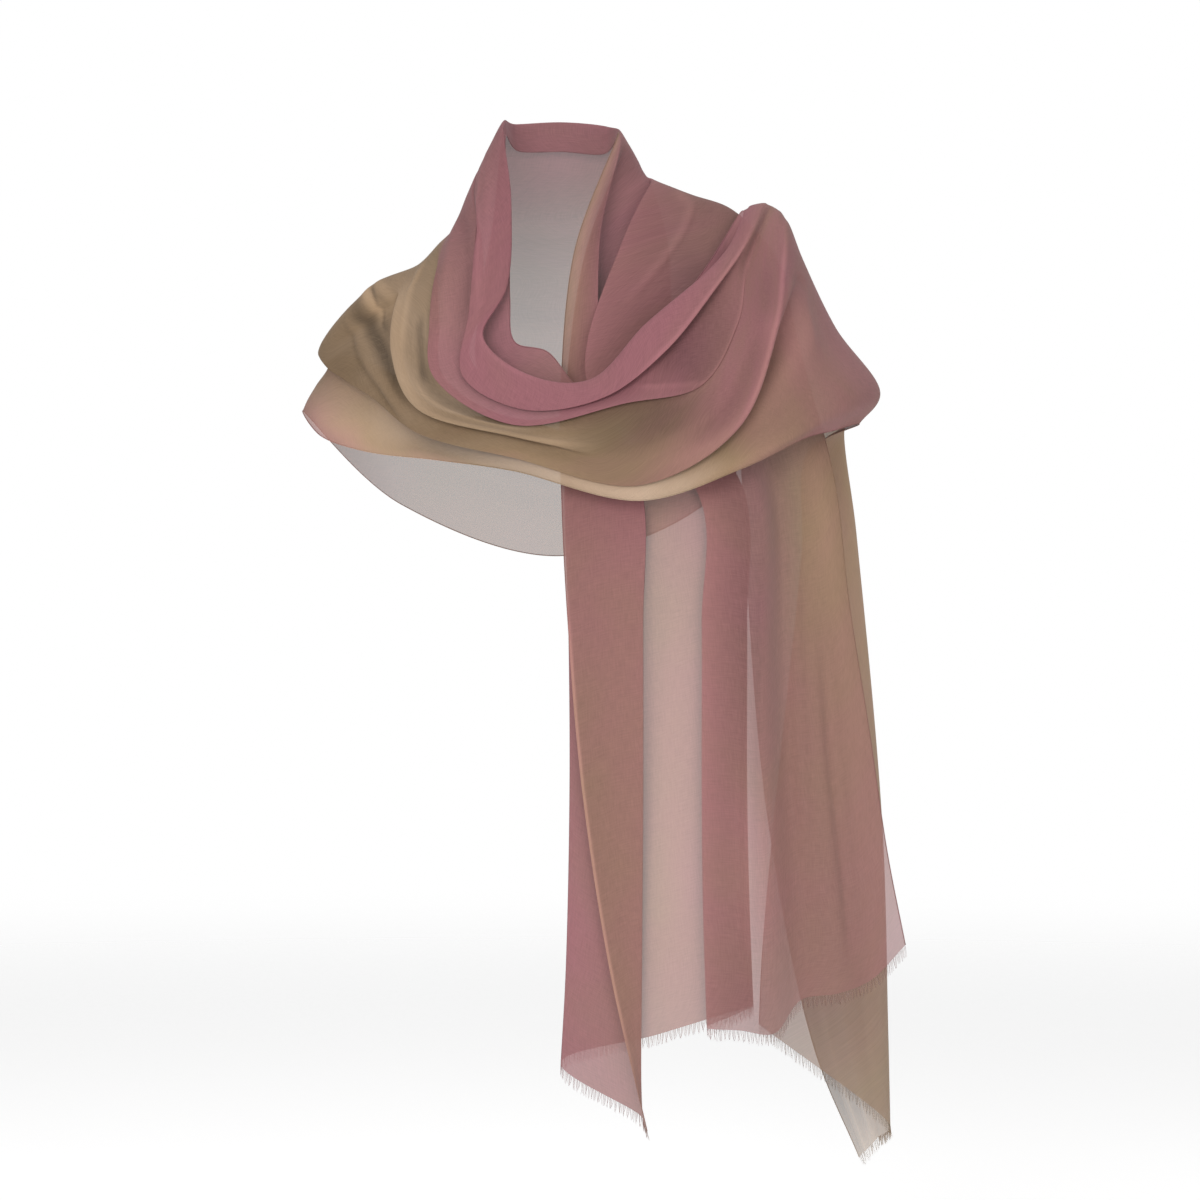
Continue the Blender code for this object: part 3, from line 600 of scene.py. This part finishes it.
def path_length(points, axis):
    """The length of the way along one axis of a grid of points, from its start to each of them."""
    step = np.linalg.norm(np.diff(points, axis=axis), axis=-1)
    start = np.zeros_like(np.take(step, [0], axis=axis))
    return np.concatenate([start, np.cumsum(step, axis=axis)], axis=axis)


def normals_of(points):
    """Unit normals of a grid of points, from its differences along and across."""
    return unit(np.cross(np.gradient(points, axis=0), np.gradient(points, axis=1)))


def ease(t):
    """A smooth rise from 0 to 1 as t goes from 0 to 1."""
    t = np.clip(t, 0, 1)
    return t * t * (3 - 2 * t)


def creases(along, across, wide):
    """How far the creases lift each point off the cloth, in millimetres, and how much painted highlight
    (above 0) or painted shade (below 0) they lay on it.

    Each crease is its depth and its painted light times exp(-|d / w|^2.6), with d the distance across the
    cloth from the crease's line, and dies out smoothly over the last quarter at both of its ends.
    """
    change = np.zeros((*wide.shape, 2))
    for start, end, *passed, width, depth, pale in CREASES:
        low, high = place_of(start, STATIONS), place_of(end, STATIONS)
        t = (along - low) / (high - low)
        line = np.interp(t, np.linspace(0, 1, len(passed)), [place_of(each, LINES) for each in passed])
        centre = np.array([np.interp(at, across, row) for at, row in zip(line, wide)])
        fade = ease(t * 4) * ease((1 - t) * 4)
        shape = fade[:, None] * np.exp(-(np.abs((wide - centre[:, None]) / width) ** 2.6))
        # the second part is a painted highlight or painted shade along the crease, not a change of dye
        change += shape[..., None] * (depth, pale)
    return change[..., 0], change[..., 1]


def table_over(table, lines, along, across):
    """A table's numbers over the grid, running straight from station to station and from line to line."""
    knots = np.array(list(table.values()), float).T
    by_line = np.array([np.interp(along, np.arange(knots.shape[1]), row) for row in knots])
    at = [place_of(line, LINES) for line in lines]
    return np.array([np.interp(across, at, row) for row in by_line.T])


def spread_tone_and_painted_light(along, across):
    """How much paler or deeper each point is made: partly the cloth's own tone, partly painted light and
    painted shade.

    Each soft place is its amount times exp(-a^2 - b^2), with a and b the distances from its middle along the
    ribbon over its reach and across it over its width, in stations and in lines.
    """
    change = np.zeros((len(along), len(across)))
    for station, line, reach, width, amount in TONE_AND_PAINTED_LIGHT:
        a = (along - place_of(station, STATIONS)) / reach
        b = (across - place_of(line, LINES)) / width
        change += amount * np.exp(-(a[:, None] ** 2) - b**2)
    return change


def weave_cloth():
    """The whole ribbon on one grid, with a row for each place along it and a column for each across.

    points are the places in metres, and flat is how far each of them lies across and along the cloth.
    dye, cover, and a lightening and darkening that is partly the dye's tone and partly painted light and
    shade, go to the finish.
    """
    settings = bpy.context.scene.scarf_cloth
    rows, columns = (n for n in (settings.rows, settings.columns))
    along = np.linspace(0, len(STATIONS) - 1, (len(STATIONS) - 1) * rows + 1)
    counts = [columns * FINE.get(line, 1) for line in LINES[:-1]]
    across = np.concatenate([i + np.arange(n) / n for i, n in enumerate(counts)] + [[len(counts)]])
    lines = smooth(laid_lines(), along)
    points = smooth(lines.transpose(1, 0, 2), across)
    wide = path_length(points, 1)
    # pale is the creases' painted highlights and painted shade
    lift, pale = creases(along, across, wide)
    points = points + lift[..., None] * normals_of(points)
    places = points * MM * [1, -1, 1]
    return {
        "rows": rows,
        "points": places,
        "normals": normals_of(places),
        "flat": np.stack([path_length(places, 1), path_length(places, 0)], axis=-1),
        "dye": table_over(DYE, DYED_LINES, along, across),
        # the cloth's own tone with painted light and painted shade from the soft places, plus the creases'
        # painted highlights and shade
        "tone_and_painted_light": spread_tone_and_painted_light(along, across) + pale,
        "cover": table_over(COVER, COVERED_LINES, along, across),
    }


# dye, a lightening and darkening that is partly tone and partly painted light and shade, and cover
SHADES = ("dye", "tone_and_painted_light", "cover")
_cloth = {}


def cloth():
    """The woven ribbon, worked out once."""
    if not _cloth:
        _cloth.update(weave_cloth())
    return _cloth


def piece_rows(start, end):
    """The rows of the ribbon from one station to another."""
    rows = cloth()["rows"]
    names = list(STATIONS)
    return slice(names.index(start) * rows, names.index(end) * rows + 1)


# ======== meshes
def grid_faces(rows, columns):
    """The four-cornered faces of a grid, numbered row by row."""
    index = np.arange(rows * columns).reshape(rows, columns)
    corners = (index[:-1, :-1], index[1:, :-1], index[1:, 1:], index[:-1, 1:])
    return np.stack(corners, axis=-1).reshape(-1, 4)


def add_mesh(name, points, quads, shades, flat, material):
    """A smooth mesh of four-cornered faces with its dye, cover, its lightening and darkening (partly tone,
    partly painted light and shade), and its flat coordinates.
    """
    mesh = bpy.data.meshes.new(name)
    mesh.vertices.add(len(points))
    mesh.vertices.foreach_set("co", points.ravel())
    mesh.loops.add(quads.size)
    mesh.loops.foreach_set("vertex_index", quads.ravel())
    mesh.polygons.add(len(quads))
    mesh.polygons.foreach_set("loop_start", np.arange(0, quads.size, 4))
    mesh.polygons.foreach_set("loop_total", np.full(len(quads), 4))
    mesh.update(calc_edges=True)
    mesh.validate()
    for key, values in shades.items():
        attribute = mesh.attributes.new(key, "FLOAT", "POINT")
        attribute.data.foreach_set("value", values.ravel().astype(np.float32))
    corners = flat[quads.ravel()].ravel().astype(np.float32)
    mesh.uv_layers.new(name="cloth").data.foreach_set("uv", corners)
    mesh.shade_smooth()
    mesh.materials.append(material)
    piece = bpy.data.objects.new(name, mesh)
    bpy.context.scene.collection.objects.link(piece)
    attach(piece, BODY)
    return piece


def tubes(paths, radii, side):
    """Square tubes with rounded shading along paths, as places and faces, with both ends closed.

    Each place is path + radius * (cos(a) * side + sin(a) * up), for TUBE_SIDES steps of a round the
    path, where up is square to the path and to side. paths is (tubes, places, 3), and radii has one
    for each place.
    """
    run = unit(np.gradient(paths, axis=1))
    up = unit(np.cross(run, side))
    side = unit(np.cross(up, run))
    turn = np.arange(TUBE_SIDES) * (2 * np.pi / TUBE_SIDES)
    ring = np.cos(turn)[:, None] * side[:, :, None] + np.sin(turn)[:, None] * up[:, :, None]
    points = paths[:, :, None] + radii[:, :, None, None] * ring
    count, places = paths.shape[:2]
    index = np.arange(count * places * TUBE_SIDES).reshape(count, places, TUBE_SIDES)
    after = np.roll(index, -1, axis=2)
    walls = np.stack((index[:, :-1], after[:, :-1], after[:, 1:], index[:, 1:]), axis=-1).reshape(-1, 4)
    caps = np.concatenate([index[:, 0, ::-1], index[:, -1]])
    return points.reshape(-1, 3), np.concatenate([walls, caps])


# ======== materials
class Wire:
    """A socket in a material whose sums are written as Python expressions."""

    def __init__(self, maker, socket):
        self.maker, self.socket = maker, socket

    def math(self, operation, first, second):
        return self.maker.node("ShaderNodeMath", {"operation": operation}, {0: first, 1: second})

    def __add__(self, other):
        return self.math("ADD", self, other)

    def __sub__(self, other):
        return self.math("SUBTRACT", self, other)

    def __mul__(self, other):
        return self.math("MULTIPLY", self, other)

    __radd__, __rmul__ = __add__, __mul__


class Finish:
    """A node material that is being made."""

    def __init__(self, name):
        self.material = bpy.data.materials.new(name)
        self.material.use_nodes = True
        self.tree = self.material.node_tree
        self.shader = self.tree.nodes["Principled BSDF"]

    def give(self, socket, value):
        """A link where the value is a wire, and else the socket's own value."""
        if isinstance(value, Wire):
            self.tree.links.new(value.socket, socket)
        else:
            socket.default_value = value

    def node(self, kind, settings=None, inputs=None, output=0):
        """Any node, from its type, its settings and the values or links of its sockets."""
        node = self.tree.nodes.new(kind)
        for key, value in (settings or {}).items():
            setattr(node, key, value)
        for key, value in (inputs or {}).items():
            self.give(node.inputs[key], value)
        return Wire(self, node.outputs[output])

    def mix(self, share, first, second):
        """A colour between two others."""
        settings = {"data_type": "RGBA"}
        return self.node("ShaderNodeMix", settings, {0: share, 6: first, 7: second}, 2)

    def scaled(self, colour, factor):
        """A colour made lighter or darker."""
        return self.node("ShaderNodeVectorMath", {"operation": "SCALE"}, {0: colour, 3: factor})

    def noise(self, vector, scale, detail):
        """Soft noise about 0.5."""
        return self.node("ShaderNodeTexNoise", None, {"Vector": vector, "Scale": scale, "Detail": detail})

    def surface(self, **values):
        """The surface's own inputs, by their names in small letters."""
        for key, value in values.items():
            self.give(self.shader.inputs[key.replace("_", " ").title()], value)


def dyed_finish(name, tight):
    """Cloth in two dyes that run into each other and are washed out in places, finely woven.

    tight multiplies the cover. The weave's threads are noise drawn out along both ways of the cloth.
    """
    colours = bpy.context.scene.scarf_dye
    finish = Finish(name)
    flat = finish.node("ShaderNodeUVMap", {"uv_map": "cloth"})
    dye = finish.node("ShaderNodeAttribute", {"attribute_name": "dye"}, output="Fac")
    clouds = finish.noise(flat, CLOUDS, 2.0) - 0.5
    threads_along, threads_across = (
        finish.noise(finish.node("ShaderNodeMapping", None, {"Vector": flat, "Scale": scale}), 1.0, 1.0)
        for scale in THREAD_GRAIN
    )
    weave = (threads_along + threads_across) * 0.5
    pink, olive, beige = ((*colour, 1.0) for colour in (colours.pink, colours.olive, colours.beige))
    run = dye + clouds * CLOUD_REACH
    colour = finish.mix(run - 1.0, finish.mix(run, pink, olive), beige)
    # the base colour is lightened or darkened by the cloth's own tone together with painted highlights,
    # painted shade and painted light over shadows
    tone_and_painted_light = finish.node("ShaderNodeAttribute", {"attribute_name": "tone_and_painted_light"}, output="Fac")
    colour = finish.scaled(colour, 0.7 + weave * 0.6 + tone_and_painted_light)
    bump = finish.node("ShaderNodeBump", None, {"Strength": 0.25, "Distance": GRAIN_DEPTH, "Height": weave})
    cover = finish.node("ShaderNodeAttribute", {"attribute_name": "cover"}, output="Fac")
    finish.surface(base_color=colour, roughness=0.75, normal=bump, alpha=cover * tight)
    finish.shader.inputs["Sheen Weight"].default_value = colours.sheen
    finish.shader.inputs["Sheen Roughness"].default_value = 0.45
    finish.shader.inputs["Specular IOR Level"].default_value = 0.15
    return finish.material


def finish_of(name, tight):
    """The finish of that name, made when it is first asked for."""
    return bpy.data.materials.get(name) or dyed_finish(name, tight)


# ======== operators
class SCARF_OT_cloth(bpy.types.Operator):
    """Lay the five lengths of cloth, each with its folds and creases"""

    bl_idname = "scarf.cloth"
    bl_label = "Cloth"

    def execute(self, context):
        woven = cloth()
        material = finish_of("organza", context.scene.scarf_dye.cover)
        for name, (start, end, _, _, slot, solids) in PIECES.items():
            part = piece_rows(start, end)
            points = woven["points"][part]
            faces = grid_faces(*points.shape[:2])
            flat = woven["flat"][part].reshape(-1, 2)
            shades = {key: woven[key][part] for key in SHADES}
            piece = add_mesh(name, points.reshape(-1, 3), faces, shades, flat, material)
            piece.data.normals_split_custom_set_from_vertices(woven["normals"][part].reshape(-1, 3).tolist())
            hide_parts(*solids)
        return {"FINISHED"}


class SCARF_OT_selvages(bpy.types.Operator):
    """Run the edge cord along both selvages of each length of cloth"""

    bl_idname = "scarf.selvages"
    bl_label = "Selvages"

    def execute(self, context):
        radius = context.scene.scarf_cloth.selvage
        material = finish_of("selvage", EDGE_TIGHT)
        for name, (start, end, _, _, slot, _) in PIECES.items():
            part = piece_rows(start, end)
            paths = at_selvages("points", part)
            radii = np.full(paths.shape[:2], radius)
            points, faces = tubes(paths, radii, at_selvages("normals", part))
            shades = {key: at_selvages(key, part).repeat(TUBE_SIDES) for key in SHADES}
            flat = at_selvages("flat", part).reshape(-1, 2).repeat(TUBE_SIDES, axis=0)
            add_mesh(name + "_selvages", points, faces, shades, flat, material)
        return {"FINISHED"}


def at_selvages(key, part):
    """What the cloth holds along its two selvages, in some of its rows."""
    return cloth()[key][part][:, [0, -1]].swapaxes(0, 1)


class SCARF_OT_fringes(bpy.types.Operator):
    """Hang the eyelash fringe of loose threads from both woven ends"""

    bl_idname = "scarf.fringes"
    bl_label = "Fringes"

    def execute(self, context):
        settings = context.scene.scarf_cloth
        material = finish_of("fringe", FRINGE_TIGHT)
        woven = cloth()
        for number, (name, (_, (row, inside), slot, solids)) in enumerate(FRINGES.items()):
            edge, before = woven["points"][row], woven["points"][inside]
            points, faces, roots = threads(edge, edge - before, settings, number)
            flat = np.stack([roots, np.zeros_like(roots)], axis=-1)
            each = len(points) // len(roots)
            length = path_length(edge, 0)
            shades = {key: np.interp(roots, length, woven[key][row]).repeat(each) for key in SHADES}
            piece = add_mesh(name, points, faces, shades, flat.repeat(each, axis=0), material)
            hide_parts(*solids)
        return {"FINISHED"}


def threads(edge, outward, settings, seed):
    """Loose threads from a woven end, as places, faces and where along the end each one is rooted.

    A thread leaves the cloth along its own line, leans towards the middle of its tuft and bends a
    little to one side: root + t * reach * out + t^2 * (lean * along + bend * off the cloth).
    """
    random = np.random.default_rng(seed)
    length = path_length(edge, 0)
    count = int(length[-1] / settings.thread_spacing)
    roots = (np.arange(count) + 0.5 + random.uniform(-0.3, 0.3, count)) * length[-1] / count

    def at_roots(values):
        """Values of the edge's points, taken at the roots."""
        return np.stack([np.interp(roots, length, values[:, k]) for k in range(3)], axis=-1)

    root = at_roots(edge)
    out = unit(at_roots(unit(outward)))
    run = unit(at_roots(unit(np.gradient(edge, axis=0))))
    off = unit(np.cross(out, run))
    tuft = np.round(np.arange(count) / TUFT)
    middle = np.array([roots[tuft == t].mean() for t in tuft])
    reach = settings.thread_length * random.uniform(0.75, 1.0, count)
    lean = (middle - roots) * random.uniform(0.4, 1.1, count) + random.normal(0, 0.0006, count)
    bend = random.normal(0, 0.0008, count)
    t = np.linspace(0, 1, THREAD_PLACES)[None, :, None]
    paths = root[:, None] + t * (reach[:, None] * out)[:, None]
    paths = paths + t**2 * (lean[:, None] * run + bend[:, None] * off)[:, None]
    radii = settings.thread_radius * np.linspace(1, THREAD_TIP, THREAD_PLACES) * np.ones((count, 1))
    points, faces = tubes(paths, radii, np.repeat(off[:, None], THREAD_PLACES, axis=1))
    return points, faces, roots


class SCARF_OT_declare(bpy.types.Operator):
    """Gather the selvages and fringes sewn to each length of cloth, and do nothing more with them"""

    bl_idname = "scarf.declare"
    bl_label = "Cloth facts"

    def execute(self, context):
        objects = bpy.data.objects
        for name, (_, _, flat, held, _, _) in PIECES.items():
            on_it = [objects[name + "_selvages"]]
            on_it += [objects[fringe] for fringe, (piece, *_) in FRINGES.items() if piece == name]
        return {"FINISHED"}


class SCARF_OT_stage(bpy.types.Operator):
    """Set up the pale floor, the soft lights and the camera"""

    bl_idname = "scarf.stage"
    bl_label = "Stage"

    def execute(self, context):
        studio = context.scene.scarf_studio
        add_floor(CAD_BOX[0].z - FLOOR_DROP)
        add_world(context.scene, studio.ambient)
        powers = {"key": studio.key, "fill": studio.fill, "top": studio.fill}
        for name, (offset, size) in LAMPS.items():
            add_light(name, Vector(offset), size, powers[name])
        add_camera(context.scene, studio)
        context.scene.view_settings.view_transform = "Standard"
        context.scene.cycles.transparent_max_bounces = 32
        return {"FINISHED"}


def add_floor(height):
    """A round pale floor that fades out far from the scarf, with radius and turn as its parameters."""
    turn = np.linspace(0, 2 * np.pi, FLOOR_SPOKES + 1)[:-1]
    radius = np.linspace(*FLOOR_RADII, FLOOR_RINGS)[:, None]
    level = np.full((FLOOR_RINGS, FLOOR_SPOKES), height)
    points = np.stack([radius * np.cos(turn), radius * np.sin(turn), level], axis=-1)
    mesh = bpy.data.meshes.new("floor")
    index = np.arange(FLOOR_RINGS * FLOOR_SPOKES).reshape(FLOOR_RINGS, FLOOR_SPOKES)
    after = np.roll(index, -1, axis=1)
    faces = np.stack((index[:-1], index[1:], after[1:], after[:-1]), axis=-1).reshape(-1, 4)
    mesh.from_pydata(points.reshape(-1, 3).tolist(), [], faces.tolist() + [index[0].tolist()])
    finish = Finish("floor")
    place = finish.node("ShaderNodeTexCoord", output="Object")
    far = finish.node("ShaderNodeVectorMath", {"operation": "LENGTH"}, {0: place}, 1)
    steps = {0: far, 1: FLOOR_FADE[0], 2: FLOOR_FADE[1], 3: 1.0, 4: 0.0}
    fade = finish.node("ShaderNodeMapRange", {"interpolation_type": "SMOOTHSTEP"}, steps)
    finish.surface(base_color=(0.9, 0.9, 0.9, 1), roughness=0.8, alpha=fade)
    finish.shader.inputs["Emission Color"].default_value = (1, 1, 1, 1)
    finish.shader.inputs["Emission Strength"].default_value = 0.3
    mesh.materials.append(finish.material)
    floor = bpy.data.objects.new("floor", mesh)
    bpy.context.scene.collection.objects.link(floor)


def add_world(scene, ambient):
    """White all round, and dimmer for what it lights than for what sees it."""
    world = bpy.data.worlds.new("studio")
    world.use_nodes = True
    nodes, links = world.node_tree.nodes, world.node_tree.links
    background = nodes["Background"]
    seen = nodes.new("ShaderNodeLightPath")
    strength = nodes.new("ShaderNodeMapRange")
    strength.inputs["To Min"].default_value = ambient
    strength.inputs["To Max"].default_value = 1.0
    links.new(seen.outputs["Is Camera Ray"], strength.inputs["Value"])
    links.new(strength.outputs[0], background.inputs["Strength"])
    background.inputs["Color"].default_value = (1, 1, 1, 1)
    scene.world = world


def add_light(name, offset, size, power):
    """A square soft light that faces the scarf."""
    light = bpy.data.lights.new(name, "AREA")
    light.shape = "SQUARE"
    light.size = size
    light.energy = power
    lamp = bpy.data.objects.new(name, light)
    lamp.location = AIM + offset
    lamp.rotation_euler = (-offset).to_track_quat("-Z", "Y").to_euler()
    bpy.context.scene.collection.objects.link(lamp)


def add_camera(scene, studio):
    """A long lens in front of the scarf, a little above it."""
    data = bpy.data.cameras.new("camera")
    data.sensor_width = 36.0
    data.lens = studio.lens
    camera = bpy.data.objects.new("camera", data)
    back = Vector((0, -np.cos(studio.elevation), np.sin(studio.elevation)))
    camera.location = AIM + back * studio.distance
    camera.rotation_euler = (-back).to_track_quat("-Z", "Y").to_euler()
    scene.collection.objects.link(camera)
    scene.camera = camera


class SCARF_PT_panel(bpy.types.Panel):
    """The scarf's pieces and their settings"""

    bl_label = "Scarf"
    bl_idname = "SCARF_PT_panel"
    bl_space_type = "VIEW_3D"
    bl_region_type = "UI"
    bl_category = "Scarf"

    def draw(self, context):
        for group in (context.scene.scarf_cloth, context.scene.scarf_dye, context.scene.scarf_studio):
            for key in group.bl_rna.properties.keys():
                if key not in ("rna_type", "name"):
                    self.layout.prop(group, key)
        for operator in OPERATORS:
            self.layout.operator(operator.bl_idname)


OPERATORS = (SCARF_OT_cloth, SCARF_OT_selvages, SCARF_OT_fringes, SCARF_OT_declare, SCARF_OT_stage)
SETTINGS = {"scarf_cloth": ClothSettings, "scarf_dye": DyeSettings, "scarf_studio": StudioSettings}
CLASSES = (*SETTINGS.values(), *OPERATORS, SCARF_PT_panel)


def register():
    for each in CLASSES:
        bpy.utils.register_class(each)
    for name, group in SETTINGS.items():
        setattr(bpy.types.Scene, name, PointerProperty(type=group))


def unregister():
    for name in SETTINGS:
        delattr(bpy.types.Scene, name)
    for each in reversed(CLASSES):
        bpy.utils.unregister_class(each)


def main():
    register()
    bpy.ops.scarf.cloth()
    bpy.ops.scarf.selvages()
    bpy.ops.scarf.fringes()
    bpy.ops.scarf.declare()
    bpy.ops.scarf.stage()


if __name__ == "__main__":
    main()
